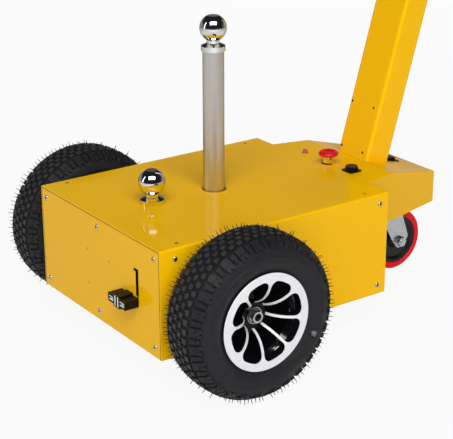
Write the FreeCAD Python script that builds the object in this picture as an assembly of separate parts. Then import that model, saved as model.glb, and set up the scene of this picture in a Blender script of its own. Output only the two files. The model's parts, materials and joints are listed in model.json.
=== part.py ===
"""Walk-behind electric tow tractor: sheet-metal body, two driven wheels, swivel caster, tow balls and mast.

Frame: millimetres, +X towards the front panel, +Y to the vehicle's left, +Z up.
The origin is on the ground, midway between the foremost and rearmost points, on the centre plane.
"""
import FreeCAD
import Part
import math
import os

V = FreeCAD.Vector
ALONG_X = V(1, 0, 0)
ALONG_Y = V(0, 1, 0)
ALONG_Z = V(0, 0, 1)

# ---- driving dimensions ----
# body
BODY_L = 509.0              # front panel to rear panel
BODY_W = 415.0
BODY_H = 203.0              # height of the side panels
TOP_Z = 271.0               # top plate above the ground
SHEET = 3.0                 # steel sheet
BEND_IN_R = 1.0             # inner radius of the bends along the top edges
LIP_W = 16.0                # folded lips that carry the end panels
LIP_T = 2.5
SEAM = 0.7                  # gap round the end panels
FIT = 0.5                   # assembly gap of the belly plate

# tail
TAIL_W_FRONT = 300.0
TAIL_W_REAR = 188.0
TAIL_L = 226.0
TAIL_BOTTOM_Z = 171.0       # top of the caster's plate
CREASE_BEHIND = 76.0        # crease of the deck, behind the rear panel
DECK_SLOPE = 13.3           # degrees, behind the crease

# mast
MAST_W = 90.0
MAST_D = 58.0
MAST_WALL = 3.0
MAST_CORNER_R = 6.0
MAST_LEAN = 16.0            # degrees back from upright
MAST_BEHIND = 10.5          # foot of its front face, behind the crease
MAST_L = 640.0
MAST_SINK = 30.0            # spare length that the deck trims off

# control head and handlebar
HEAD_W = 128.0
HEAD_D = 96.0
HEAD_H = 118.0
HEAD_FOOT_D = 78.0          # depth where it meets the mast
HEAD_SIDE_H = 62.0          # height of its upright back
HEAD_CROWN_D = 34.0         # flat strip in front of the sloping panel
HEAD_EDGE_R = 7.0
BAR_R = 12.5
BAR_W = 540.0
BAR_MIDDLE_W = 240.0        # straight middle
BAR_SWEEP = 60.0            # how far the ends come back
BAR_BEND_R = 70.0
BAR_UP = 44.0               # bar axis above the head's foot
GRIP_WALL = 4.5
GRIP_L = 118.0
GRIP_END = 4.0
GRIP_COLLAR_H = 3.0
GRIP_COLLAR_L = 6.0
GRIP_EDGE_R = 2.5

# controls on the head's sloping panel
GAUGE_W = 56.0
GAUGE_H = 30.0
GAUGE_T = 3.0
CONTROL_GAP = 36.0          # switch and key, each side of the centre plane
CONTROL_SEAT_R = 11.0
CONTROL_SEAT_T = 5.0
KEY_BARREL_R = 7.0
KEY_BARREL_L = 11.0
LEVER_R = 4.5
LEVER_L = 20.0

# wheels
WHEEL_BACK = 134.0          # axle behind the front panel
WHEEL_GAP = 20.0            # tyre to side panel
TYRE_R = 151.5              # to the tips of the lugs
TYRE_W = 107.0
TYRE_WALL = 9.0
BEAD_R = 77.0
BEAD_W = 12.0
CHAFER_R = 93.0             # where the sidewall leaves the rim
CHAFER_INSET = 2.0          # inside the rim's edge
BULGE_R = 116.0             # widest ring of the sidewall
SHOULDER_R = 134.0
SHOULDER_IN = 6.0           # shoulder inside the bulge
CROWN_W = 54.0
CROWN_DROP = 2.0            # crown's edges below its middle

# tread: pairs of a long and a short shoulder lug, and two rows of crown blocks
LUG_H = 4.5
LUG_ROOT = 2.5              # depth to which the lugs run into the carcass
LUG_PAIRS = 28
LONG_LUG_L = 15.0
LONG_LUG_W = 24.0
SHORT_LUG_L = 8.0
SHORT_LUG_W = 18.0
CROWN_BLOCK_L = 11.0
CROWN_BLOCK_W = 13.0
CROWN_BLOCK_OUT = 12.0      # row's middle beside the tyre's middle plane

# rims
RIM_W = 96.0
RIM_FLANGE_H = 12.0
BEAD_INSET = 10.0           # outer edge of the bead inside the rim's edge
BARREL_DEPTH = 6.0          # barrel's inner face below the bead seat
BARREL_STEP = 2.0
FACE_T = 1.6                # polished face on the casting
FACE_RING_W = 14.0
SPOKE_DEPTH = 17.0
RIB_COUNT = 8
RIB_T = 4.6
RIB_TURN = 6.0              # degrees
POCKET_CORNER_R = 12.0
HUB_R = 24.0
HUB_DEPTH = 58.0
SHAFT_R = 10.0
SHAFT_START = 12.0          # half shaft's inner end, beside the centre plane
SHAFT_CLEAR = 0.06
NUT_OUT = 24.0              # outer end of the hub nut, from the tyre's middle plane
NUT_L = 10.0
NUT_CORNER_R = 11.5
NUT_BEVEL = 1.0
NUT_HOLE_R = 7.0
WASHER_R = 15.0
WASHER_T = 2.0
SHAFT_RECESS = 8.0          # shaft's end inside the nut

# drive axle
AXLE_TUBE_R = 25.5
AXLE_HOLE_CLEAR = 1.5
AXLE_STUB = 8.0             # tube outside each side panel
AXLE_FLANGE_R = 41.0
AXLE_FLANGE_T = 5.0
GEARCASE_R = 58.0
GEARCASE_W = 124.0

# caster
CASTER_BEHIND = 164.0       # swivel axis behind the rear panel
CASTER_TRAIL = 40.0
CASTER_R = 65.0
CASTER_TREAD_T = 14.0
CASTER_W = 32.0
CASTER_EDGE = 4.0
CASTER_CHAMFER = 1.0        # of the core's corners
CASTER_HUB_R = 14.0
CASTER_DISH = 6.0           # how far the core's web lies inside the tread's side
PLATE_L = 104.0
PLATE_W = 84.0
PLATE_T = 4.0
RACE_R = 26.0
RACE_H = 7.0
RACE_GAP = 0.3
CROWN_PLATE_R = 31.0
CROWN_PLATE_T = 6.0
FORK_T = 4.0
FORK_GAP = 5.5              # wheel to fork leg
FORK_CLEAR = 1.0            # hub to fork leg
FORK_AHEAD = 27.0           # crown's ends, ahead of and behind the swivel axis
FORK_BEHIND = 34.0
FORK_FOOT_AHEAD = 22.0      # leg's foot, ahead of, behind and below the pin
FORK_FOOT_BEHIND = 23.0
FORK_FOOT_DOWN = 14.0
FORK_CORNER_R = 9.0
PIN_R = 5.0
PIN_NUT_CORNER_R = 10.5
PIN_NUT_L = 9.0
PIN_THREAD = 2.0            # pin's end past its nut

# tow balls
BALL_R = 25.0
BALL_TOP_R = 10.5           # flat on the top of the ball
NECK_R = 12.0
FLANGE_R = 22.5
FLANGE_T = 9.0
FLANGE_CONE = 5.0
LOW_BALL_BACK = 118.0
BALL_UP = 41.5              # ball centre above its foot

# lifting post
POST_BACK = 256.0
POST_R = 20.0
POST_UP = 266.5             # top of the post above the top plate
POST_IN_BODY = 62.0         # what stays below the top plate when it is up
POST_HOLE_CLEAR = 4.0
GUIDE_WALL = 7.0
GUIDE_FLANGE_R = 38.0
GUIDE_FLANGE_T = 5.0

# charging connector and the openings of the front panel
CONN_W = 57.0
CONN_H = 16.0
CONN_OUT = 28.0
CONN_IN = 32.0
CONN_LEFT = 108.0
CONN_DOWN = 119.0           # its middle below the top plate
CONN_RIB_W = 20.0
CONN_RIB_H = 24.0
MOUTH_W = 14.0
MOUTH_H = 8.0
MOUTH_DEPTH = 15.0
MOUTH_APART = 36.0
CONN_FIT = 0.4
SLOT_LEFT = 133.5
SLOT_W = 6.5
SLOT_TOP_DOWN = 57.0
SLOT_HOOK = 6.0
PATTERN_W = 76.0            # four-hole accessory pattern
PATTERN_H = 68.0
PATTERN_DOWN = 108.0
PATTERN_HOLE_R = 2.2

# small fittings on the deck, as (behind the rear panel, to the left)
STOP_AT = (13.0, 14.0)
LAMP_AT = (15.0, -62.0)
SOCKET_AT = (23.0, 74.0)
BREAKER_AT = (172.0, 0.0)
STOP_FLANGE_R = 14.0
STOP_FLANGE_T = 2.0
STOP_STEM_R = 10.8
STOP_STEM_H = 18.0
STOP_HEAD_R = 20.0
STOP_HEAD_H = 8.5
LAMP_R = 6.5
LAMP_H = 3.0
LENS_R = 4.5
LENS_STEM = 5.5
SOCKET_W = 29.0             # square flange
SOCKET_T = 2.5
SOCKET_CORNER_R = 3.0
SOCKET_CAP_R = 13.5
SOCKET_CAP_TOP_R = 12.0
SOCKET_CAP_H = 8.0
BREAKER_L = 40.0
BREAKER_W = 52.0
BREAKER_T = 2.0
ROCKER_L = 28.0
ROCKER_W = 38.0
ROCKER_LOW = 3.0            # rocker's two ends above the deck
ROCKER_HIGH = 7.0

# battery block
BATTERY_L = 230.0
BATTERY_W = 340.0
BATTERY_H = 160.0
BATTERY_GAP = 20.0          # behind the gearcase
POST_ROOM = 5.0             # well for the post's guide

# ---- worked out from them ----
LEAN = math.radians(MAST_LEAN)
SLOPE_ANGLE = math.radians(DECK_SLOPE)
SLOPE = math.tan(SLOPE_ANGLE)

BAR_ALONG = MAST_L + BAR_UP
SWEEP_ANGLE = math.atan2(2 * BAR_SWEEP, BAR_W - BAR_MIDDLE_W)
GRIP_R = BAR_R + GRIP_WALL
MAST_BACK = BODY_L + CREASE_BEHIND + MAST_BEHIND
BAR_BACK = MAST_BACK + BAR_ALONG * math.sin(LEAN) + MAST_D / 2 * math.cos(LEAN)
TIP_BEHIND_BAR = (GRIP_END - GRIP_EDGE_R) * math.sin(SWEEP_ANGLE)
TIP_ROUND_BAR = (GRIP_R - GRIP_EDGE_R) * math.cos(SWEEP_ANGLE)
REARMOST = BAR_BACK + BAR_SWEEP + TIP_BEHIND_BAR + TIP_ROUND_BAR + GRIP_EDGE_R
FRONT = (REARMOST - CONN_OUT) / 2          # X of the front panel's face
REAR = FRONT - BODY_L
BOTTOM_Z = TOP_Z - BODY_H
BELLY_Z = BOTTOM_Z + SHEET
CREASE_X = REAR - CREASE_BEHIND
CONN_Z = TOP_Z - CONN_DOWN

RIM_EDGE = RIM_W / 2
BEAD_SEAT = RIM_EDGE - BEAD_INSET
RIM_FLANGE_R = BEAD_R + RIM_FLANGE_H
POCKET_R = RIM_FLANGE_R - FACE_RING_W
HUB_FACE = NUT_OUT - NUT_L - WASHER_T      # from the tyre's middle plane, as all wheel places
TRACK_HALF = BODY_W / 2 + WHEEL_GAP + TYRE_W / 2
AXLE = V(FRONT - WHEEL_BACK, 0, TYRE_R)

CASTER_X = REAR - CASTER_BEHIND
CASTER_CORE_R = CASTER_R - CASTER_TREAD_T
CASTER_CENTRE = V(CASTER_X - CASTER_TRAIL, 0, CASTER_R)
LEG_IN = CASTER_W / 2 + FORK_GAP           # inner face of a fork leg
LEG_OUT = LEG_IN + FORK_T


# ---- helpers ----
def box(x0, x1, y0, y1, z0, z1):
    return Part.makeBox(x1 - x0, y1 - y0, z1 - z0, V(x0, y0, z0))


def block(middle, length, width, height):
    """Box round a point, by its sizes along X, Y and Z."""
    corner = middle.sub(V(length / 2, width / 2, height / 2))
    return Part.makeBox(length, width, height, corner)


def rod(radius, start, end):
    """Cylinder between two points."""
    along = end.sub(start)
    return Part.makeCylinder(radius, along.Length, start, along)


def prism(points, along):
    """Extrude a closed polygon."""
    return Part.Face(Part.makePolygon(points + points[:1])).extrude(along)


def turn(edges, centre, axis):
    """Revolve a closed outline, in any order of its edges."""
    return Part.Face(Part.Wire(Part.__sortEdges__(edges))).revolve(centre, axis, 360)


def turn_points(points, centre, axis):
    return Part.Face(Part.makePolygon(points + points[:1])).revolve(centre, axis, 360)


def arc(a, mid, b):
    return Part.Arc(a, mid, b).toShape()


def line(a, b):
    return Part.LineSegment(a, b).toShape()


def hexagon(centre, corner_r, depth):
    """Hexagonal prism along Y from its centre."""
    corners = []
    for i in range(6):
        angle = math.radians(60 * i)
        corners.append(centre.add(V(corner_r * math.cos(angle), 0, corner_r * math.sin(angle))))
    return prism(corners, V(0, depth, 0))


def edges_along(shape, direction, test=lambda middle: True):
    """Straight edges that run along a direction and whose middle passes the test."""
    found = []
    for edge in shape.Edges:
        if not isinstance(edge.Curve, Part.Line):
            continue
        parallel = abs(edge.tangentAt(edge.FirstParameter).dot(direction)) > 0.999
        if parallel and test(edge.CenterOfMass):
            found.append(edge)
    return found


def at(back, left, z):
    """Point given by its distance behind the front panel."""
    return V(FRONT - back, left, z)


def deck_z(x):
    """Height of the deck, which slopes down behind the crease."""
    return TOP_Z - max(0.0, CREASE_X - x) * SLOPE


def on_deck(spot):
    behind, left = spot
    return V(REAR - behind, left, deck_z(REAR - behind))


def mirrored(shape):
    return shape.mirror(V(0, 0, 0), ALONG_Y)


# ---- body ----
def bent_cover(inset, bottom):
    """The body's box less an inset at its sides and top, its two long top edges rounded."""
    half = BODY_W / 2 - inset
    top = TOP_Z - inset
    solid = box(REAR, FRONT, -half, half, bottom, top)
    top_edges = edges_along(solid, ALONG_X, lambda middle: middle.z > top - 1)
    return solid.makeFillet(SHEET + BEND_IN_R - inset, top_edges)


def end_lip(hollow, rear, front):
    """Frame folded inwards behind an end panel."""
    frame = hollow.common(box(rear, front, -BODY_W, BODY_W, BOTTOM_Z, TOP_Z))
    half = BODY_W / 2 - SHEET - LIP_W
    window = box(rear - 1, front + 1, -half, half, BOTTOM_Z - 1, TOP_Z - SHEET - LIP_W)
    return frame.cut(window)


def body_shell():
    """Top plate and side panels bent from one sheet, with a lip at each end."""
    hollow = bent_cover(SHEET, BOTTOM_Z - 1)
    shell = bent_cover(0, BOTTOM_Z).cut(hollow)
    shell = shell.fuse(end_lip(hollow, FRONT - SHEET - LIP_T, FRONT - SHEET))
    shell = shell.fuse(end_lip(hollow, REAR + SHEET, REAR + SHEET + LIP_T))
    across = V(0, BODY_W, 0)
    shell = shell.cut(rod(AXLE_TUBE_R + AXLE_HOLE_CLEAR, AXLE.sub(across), AXLE.add(across)))
    return shell.cut(rod(POST_R + POST_HOLE_CLEAR, at(POST_BACK, 0, BOTTOM_Z), at(POST_BACK, 0, TOP_Z + 1)))


def end_panel(rear, front):
    """Plate that closes an end of the shell."""
    half = BODY_W / 2 - SHEET - SEAM
    return box(rear, front, -half, half, BOTTOM_Z, TOP_Z - SHEET - SEAM)


def connector_blocks(grow):
    """Outer form of the charging connector: a wide housing with a raised rib along its middle."""
    length = CONN_OUT + CONN_IN
    middle = V(FRONT + CONN_OUT - length / 2, CONN_LEFT, CONN_Z)
    housing = block(middle, length, CONN_W + 2 * grow, CONN_H + 2 * grow)
    rib = block(middle, length, CONN_RIB_W + 2 * grow, CONN_RIB_H + 2 * grow)
    return housing.fuse(rib)


def front_panel():
    """End panel with the connector's window, the hooked slot beside it and the accessory holes."""
    panel = end_panel(FRONT - SHEET, FRONT)
    panel = panel.cut(connector_blocks(CONN_FIT))
    rear, front = FRONT - 2 * SHEET, FRONT + SHEET
    left, right = SLOT_LEFT + SLOT_W / 2, SLOT_LEFT - SLOT_W / 2
    slot_top = TOP_Z - SLOT_TOP_DOWN
    panel = panel.cut(box(rear, front, right, left, CONN_Z, slot_top))
    panel = panel.cut(box(rear, front, right - SLOT_HOOK, right, slot_top - SLOT_W / 2, slot_top))
    for left in (-PATTERN_W / 2, PATTERN_W / 2):
        for up in (-PATTERN_H / 2, PATTERN_H / 2):
            z = TOP_Z - PATTERN_DOWN + up
            panel = panel.cut(rod(PATTERN_HOLE_R, V(rear, left, z), V(front, left, z)))
    return panel


def belly_plate():
    half = BODY_W / 2 - SHEET
    inset = SHEET + LIP_T + FIT
    return box(REAR + inset, FRONT - inset, -half, half, BOTTOM_Z, BELLY_Z)


def charge_connector():
    """Two-pole connector with a mouth for each contact."""
    body = connector_blocks(0)
    for side in (-1, 1):
        mouth = V(FRONT + CONN_OUT - MOUTH_DEPTH / 2, CONN_LEFT + side * MOUTH_APART / 2, CONN_Z)
        body = body.cut(block(mouth, MOUTH_DEPTH, MOUTH_W, MOUTH_H))
    return body


# ---- tail ----
def tail_prism(inset, top_inset, bottom):
    """The tail's tapering plan less an inset, under its sloping deck."""
    rear = REAR - TAIL_L + inset
    taper = (TAIL_W_FRONT - TAIL_W_REAR) / 2 / TAIL_L
    side_inset = inset * math.hypot(1, taper)
    half_front = TAIL_W_FRONT / 2 - side_inset
    half_rear = TAIL_W_REAR / 2 - side_inset + inset * taper
    plan = [V(REAR, -half_front, bottom), V(REAR, half_front, bottom),
            V(rear, half_rear, bottom), V(rear, -half_rear, bottom)]
    solid = prism(plan, V(0, 0, TOP_Z - top_inset - bottom))
    return solid.cut(above_slope(top_inset))


def above_slope(inset):
    """Everything above the sloping deck, or above a face that lies an inset below it."""
    reach = TAIL_L + MAST_L
    end = CREASE_X - reach
    side = TAIL_W_FRONT
    z = TOP_Z - inset
    corners = [V(CREASE_X, -side, z), V(end, -side, z - reach * SLOPE), V(end, -side, TOP_Z + reach),
               V(CREASE_X, -side, TOP_Z + reach)]
    return prism(corners, V(0, 2 * side, 0))


def tail_housing():
    return tail_prism(0, 0, TAIL_BOTTOM_Z).cut(tail_prism(SHEET, SHEET, TAIL_BOTTOM_Z - 1))


def tail_floor():
    slab = box(REAR - TAIL_L, REAR, -TAIL_W_FRONT, TAIL_W_FRONT, TAIL_BOTTOM_Z, TAIL_BOTTOM_Z + SHEET)
    return tail_prism(SHEET, SHEET, TAIL_BOTTOM_Z).common(slab)


# ---- tow balls ----
def tow_ball(foot):
    """Ball on a neck with a flat top, standing on a conical flange."""
    def p(radius, up):
        return foot.add(V(radius, 0, up))

    cap = BALL_UP + math.sqrt(BALL_R ** 2 - BALL_TOP_R ** 2)
    under = BALL_UP - math.sqrt(BALL_R ** 2 - NECK_R ** 2)
    cone_top = FLANGE_T + FLANGE_CONE
    edges = [line(p(0, 0), p(FLANGE_R, 0)),
             line(p(FLANGE_R, 0), p(FLANGE_R, FLANGE_T)),
             line(p(FLANGE_R, FLANGE_T), p(NECK_R, cone_top)),
             line(p(NECK_R, cone_top), p(NECK_R, under)),
             arc(p(NECK_R, under), p(BALL_R, BALL_UP), p(BALL_TOP_R, cap)),
             line(p(BALL_TOP_R, cap), p(0, cap)),
             line(p(0, cap), p(0, 0))]
    return turn(edges, foot, ALONG_Z)


def tow_post():
    return rod(POST_R, at(POST_BACK, 0, TOP_Z - POST_IN_BODY), at(POST_BACK, 0, TOP_Z + POST_UP))


def post_guide():
    """Sleeve hung under the top plate, with a running bore for the post."""
    top = TOP_Z - SHEET
    foot = at(POST_BACK, 0, top - POST_IN_BODY)
    head = at(POST_BACK, 0, top)
    sleeve = rod(POST_R + GUIDE_WALL, foot, head)
    flange = rod(GUIDE_FLANGE_R, at(POST_BACK, 0, top - GUIDE_FLANGE_T), head)
    bore = rod(POST_R + SHAFT_CLEAR, foot.sub(V(0, 0, 1)), head.add(V(0, 0, 1)))
    return sleeve.fuse(flange).cut(bore)


# ---- mast and controls ----
def on_mast(local):
    """Stand a shape on the mast's foot: its X points out of the front face, its Z runs up the mast."""
    foot = V(FRONT - MAST_BACK, 0, deck_z(FRONT - MAST_BACK))
    place = FreeCAD.Placement(foot, FreeCAD.Rotation(ALONG_Y, -MAST_LEAN))
    local.Placement = place.multiply(local.Placement)
    return local


def mast_section(inset, foot, head):
    """The mast's rounded rectangle, less an inset, between two heights."""
    half = MAST_W / 2 - inset
    solid = box(inset - MAST_D, -inset, -half, half, foot, head)
    return solid.makeFillet(MAST_CORNER_R - inset, edges_along(solid, ALONG_Z))


def mast():
    """Square tube, cut to stand on the sloping deck."""
    tube = mast_section(0, -MAST_SINK, MAST_L).cut(mast_section(MAST_WALL, -MAST_SINK - 1, MAST_L + 1))
    return on_mast(tube).common(above_slope(0))


def head_profile():
    """Side view of the control head in the mast's own directions, with its sloping panel at the back."""
    middle = -MAST_D / 2
    front, back = middle + HEAD_D / 2, middle - HEAD_D / 2
    foot_front, foot_back = middle + HEAD_FOOT_D / 2, middle - HEAD_FOOT_D / 2
    waist = MAST_L + HEAD_FOOT_D / 4
    return [V(foot_back, 0, MAST_L), V(foot_front, 0, MAST_L), V(front, 0, waist),
            V(front, 0, MAST_L + HEAD_H), V(front - HEAD_CROWN_D, 0, MAST_L + HEAD_H),
            V(back, 0, MAST_L + HEAD_SIDE_H), V(back, 0, waist)]


def control_head():
    """Moulded housing that closes the mast and carries the handlebar and the controls."""
    shift = V(0, -HEAD_W / 2, 0)
    solid = prism([p.add(shift) for p in head_profile()], V(0, HEAD_W, 0))
    foot_z = MAST_L + 1
    rounded = [e for e in solid.Edges if e.CenterOfMass.z > foot_z]
    return on_mast(solid.makeFillet(HEAD_EDGE_R, rounded)).cut(bar_tube())


def on_panel(shape, left):
    """Stand a shape, built on the origin and rising along Z, on the middle of the head's sloping panel."""
    crown, brink = head_profile()[4:6]
    across = crown.sub(brink)
    middle = crown.add(brink) * 0.5
    tilt = math.degrees(math.atan2(across.z, across.x))
    place = FreeCAD.Placement(middle.add(V(0, left, 0)), FreeCAD.Rotation(ALONG_Y, -tilt))
    shape.Placement = place.multiply(shape.Placement)
    return on_mast(shape)


def battery_gauge():
    plate = block(V(0, 0, GAUGE_T / 2), GAUGE_H, GAUGE_W, GAUGE_T)
    plate = plate.makeFillet(GAUGE_T, edges_along(plate, ALONG_Z))
    return on_panel(plate, 0)


def seat_and_stem(stem_r, stem_l):
    seat = Part.makeCylinder(CONTROL_SEAT_R, CONTROL_SEAT_T)
    return seat.fuse(Part.makeCylinder(stem_r, stem_l))


def key_switch():
    return on_panel(seat_and_stem(KEY_BARREL_R, KEY_BARREL_L), -GAUGE_W / 2 - CONTROL_GAP / 2)


def direction_switch():
    return on_panel(seat_and_stem(LEVER_R, LEVER_L), GAUGE_W / 2 + CONTROL_GAP / 2)


def bar_path():
    """Half the handlebar's centre line: its middle, both ends and the middle of its bend, and its end."""
    start = V(FRONT - BAR_BACK, 0, 0)
    along = BAR_ALONG * math.cos(LEAN) - MAST_D / 2 * math.sin(LEAN)
    start.z = deck_z(FRONT - MAST_BACK) + along
    knee = start.add(V(0, BAR_MIDDLE_W / 2, 0))
    end = start.add(V(-BAR_SWEEP, BAR_W / 2, 0))
    out = end.sub(knee).normalize()
    setback = BAR_BEND_R * math.tan(SWEEP_ANGLE / 2)
    bend_start = knee.sub(V(0, setback, 0))
    bend_end = knee.add(out * setback)
    chord_middle = (bend_start + bend_end) * 0.5
    bulge = BAR_BEND_R * (1 - math.cos(SWEEP_ANGLE / 2))
    bend_middle = chord_middle.add((knee - chord_middle).normalize() * bulge)
    return start, bend_start, bend_middle, bend_end, end


def bar_tube():
    start, bend_start, bend_middle, bend_end, end = bar_path()
    bend = Part.Wire([arc(bend_start, bend_middle, bend_end)])
    ring = Part.Wire([Part.makeCircle(BAR_R, bend_start, ALONG_Y)])
    elbow = bend.makePipeShell([ring], True, False)
    half = rod(BAR_R, start, bend_start).fuse(elbow).fuse(rod(BAR_R, bend_end, end))
    return half.fuse(mirrored(half)).removeSplitter()


def grip():
    """Left grip: a rubber sleeve with a closed end and a collar at its root."""
    bend_end, end = bar_path()[3:]
    out = end.sub(bend_end).normalize()
    root = end.sub(out * (GRIP_L - GRIP_END))
    tip = end.add(out * GRIP_END)
    sleeve = rod(GRIP_R, root, tip).fuse(rod(GRIP_R + GRIP_COLLAR_H, root, root.add(out * GRIP_COLLAR_L)))
    rims = [e for e in sleeve.Edges if isinstance(e.Curve, Part.Circle) and e.CenterOfMass.y > tip.y - 1]
    return sleeve.makeFillet(GRIP_EDGE_R, rims).cut(rod(BAR_R, root.sub(out), end))


# ---- small fittings on the deck ----
def stop_button_collar():
    foot = on_deck(STOP_AT)
    shoulder = STOP_FLANGE_T * 2
    profile = [V(0, 0, 0), V(STOP_FLANGE_R, 0, 0), V(STOP_FLANGE_R, 0, STOP_FLANGE_T),
               V(STOP_STEM_R, 0, shoulder), V(STOP_STEM_R, 0, STOP_STEM_H), V(0, 0, STOP_STEM_H)]
    return turn_points([p.add(foot) for p in profile], foot, ALONG_Z)


def stop_button_head():
    """Mushroom button, rounded under its brim, with a shallow dish in its top."""
    foot = on_deck(STOP_AT).add(V(0, 0, STOP_STEM_H))

    def p(radius, up):
        return foot.add(V(STOP_HEAD_R * radius, 0, STOP_HEAD_H * up))

    edges = [line(p(0, 0), p(0.7, 0)),
             arc(p(0.7, 0), p(0.95, 0.14), p(1, 0.43)),
             arc(p(1, 0.43), p(0.92, 0.84), p(0.72, 1)),
             line(p(0.72, 1), p(0.5, 0.72)),
             line(p(0.5, 0.72), p(0, 0.72)),
             line(p(0, 0.72), p(0, 0))]
    return turn(edges, foot, ALONG_Z)


def indicator_lamp():
    """Chrome bezel with a domed lens."""
    foot = on_deck(LAMP_AT)
    lens_middle = foot.add(V(0, 0, LENS_STEM))
    bezel = Part.makeCylinder(LAMP_R, LAMP_H, foot)
    return bezel.fuse(rod(LENS_R, foot, lens_middle)).fuse(Part.makeSphere(LENS_R, lens_middle))


def charge_socket():
    """Charging socket with a square flange, under its tapered cap."""
    foot = on_deck(SOCKET_AT)
    flange = block(foot.add(V(0, 0, SOCKET_T / 2)), SOCKET_W, SOCKET_W, SOCKET_T)
    flange = flange.makeFillet(SOCKET_CORNER_R, edges_along(flange, ALONG_Z))
    cap = Part.makeCone(SOCKET_CAP_R, SOCKET_CAP_TOP_R, SOCKET_CAP_H, foot.add(V(0, 0, SOCKET_T)))
    return flange.fuse(cap)


def breaker_button():
    """Main switch on the sloping deck: a flat frame with a tilted rocker."""
    frame = block(V(0, 0, BREAKER_T / 2), BREAKER_L, BREAKER_W, BREAKER_T)
    half = ROCKER_L / 2
    outline = [V(-half, -ROCKER_W / 2, 0), V(half, -ROCKER_W / 2, 0), V(half, -ROCKER_W / 2, ROCKER_LOW),
               V(-half, -ROCKER_W / 2, ROCKER_HIGH)]
    switch = frame.fuse(prism(outline, V(0, ROCKER_W, 0)))
    switch.Placement = FreeCAD.Placement(on_deck(BREAKER_AT), FreeCAD.Rotation(ALONG_Y, -DECK_SLOPE))
    return switch


# ---- drive ----
def drive_axle():
    """Axle housing through both side panels, with a flange outside each and the gearcase between."""
    half = BODY_W / 2
    tube = rod(AXLE_TUBE_R, V(AXLE.x, -half - AXLE_STUB, AXLE.z), V(AXLE.x, half + AXLE_STUB, AXLE.z))
    for side in (-1, 1):
        panel = V(AXLE.x, side * half, AXLE.z)
        tube = tube.fuse(rod(AXLE_FLANGE_R, panel, panel.add(V(0, side * AXLE_FLANGE_T, 0))))
    gearcase = rod(GEARCASE_R, V(AXLE.x, -GEARCASE_W / 2, AXLE.z), V(AXLE.x, GEARCASE_W / 2, AXLE.z))
    bore = rod(SHAFT_R + SHAFT_CLEAR, V(AXLE.x, -BODY_W, AXLE.z), V(AXLE.x, BODY_W, AXLE.z))
    return tube.fuse(gearcase).cut(bore)


def axle_shaft():
    """Left half shaft, from the gearcase into the hub nut."""
    end = TRACK_HALF + NUT_OUT - SHAFT_RECESS
    return rod(SHAFT_R, V(AXLE.x, SHAFT_START, AXLE.z), V(AXLE.x, end, AXLE.z))


# ---- left wheel; radii are from the axle, and "out" is from the tyre's middle plane ----
def w(radius, out):
    return V(AXLE.x + radius, TRACK_HALF + out, AXLE.z)


def sidewall(inset, side):
    """One side of the tyre's section from the bead to the edge of the crown."""
    half = TYRE_W / 2 - inset
    crown = TYRE_R - LUG_H - CROWN_DROP - inset
    crown_out = CROWN_W / 2 - inset / 2
    chafer_out = RIM_EDGE - CHAFER_INSET - inset
    bead_out = BEAD_SEAT if inset == 0 else BEAD_SEAT - BEAD_W
    chafer = w(CHAFER_R, side * chafer_out)
    shoulder = w(SHOULDER_R, side * (half - SHOULDER_IN))
    return [line(w(BEAD_R, side * bead_out), chafer),
            arc(chafer, w(BULGE_R, side * half), shoulder),
            line(shoulder, w(crown, side * crown_out)),
            line(w(crown, side * crown_out), w(TYRE_R - LUG_H - inset, 0))]


def carcass():
    """Hollow tyre without its lugs, open to the rim between its beads."""
    outline = []
    for side in (1, -1):
        outline += sidewall(0, side) + sidewall(TYRE_WALL, side)
        outline.append(line(w(BEAD_R, side * (BEAD_SEAT - BEAD_W)), w(BEAD_R, side * BEAD_SEAT)))
    return turn(outline, AXLE, ALONG_Y)


def lug(angle, out, top, tilt, length, width):
    """Tread block: its top lies at a radius, tilted out over the shoulder, and is long round the tyre."""
    height = LUG_H + LUG_ROOT
    solid = block(V(0, 0, -height / 2), length, width, height)
    solid.rotate(V(0, 0, 0), ALONG_X, -tilt)
    solid.translate(w(0, out).add(V(0, 0, top)))
    solid.rotate(AXLE, ALONG_Y, angle)
    return solid


def tyre():
    """Carcass with staggered crown blocks and a long and a short shoulder lug by turns."""
    crown_edge = TYRE_R - LUG_H - CROWN_DROP
    shoulder_out = TYRE_W / 2 - SHOULDER_IN
    fall = crown_edge - SHOULDER_R
    run = shoulder_out - CROWN_W / 2
    tilt = math.atan2(fall, run)
    lug_out = (CROWN_W / 2 + shoulder_out) / 2 + LUG_H * math.sin(tilt)
    lug_top = (crown_edge + SHOULDER_R) / 2 + LUG_H * math.cos(tilt)
    block_top = math.sqrt(TYRE_R ** 2 - (CROWN_BLOCK_L / 2) ** 2)
    step = 180.0 / LUG_PAIRS
    lugs = []
    for i in range(2 * LUG_PAIRS):
        length, width = (LONG_LUG_L, LONG_LUG_W) if i % 2 else (SHORT_LUG_L, SHORT_LUG_W)
        for side, turned in ((1, i * step), (-1, (i + 1) * step)):
            lugs.append(lug(turned, side * lug_out, lug_top, side * math.degrees(tilt), length, width))
            lugs.append(lug(turned + side * step / 4, side * CROWN_BLOCK_OUT, block_top, 0,
                            CROWN_BLOCK_L, CROWN_BLOCK_W))
    return carcass().fuse(lugs)


def dish_arc(inset):
    """Front line of the spokes: level at the ring, and plunging to the hub. Returns its ends and its edge."""
    span = POCKET_R - HUB_R
    drop = RIM_EDGE + FACE_T - HUB_FACE
    radius = (span ** 2 + drop ** 2) / (2 * drop)
    middle_out = RIM_EDGE + FACE_T - radius
    reach = radius - inset

    def p(angle):
        return w(POCKET_R - reach * math.sin(angle), middle_out + reach * math.cos(angle))

    low = math.asin(span / radius)
    return p(0), p(low), arc(p(0), p(low / 2), p(low))


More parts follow.
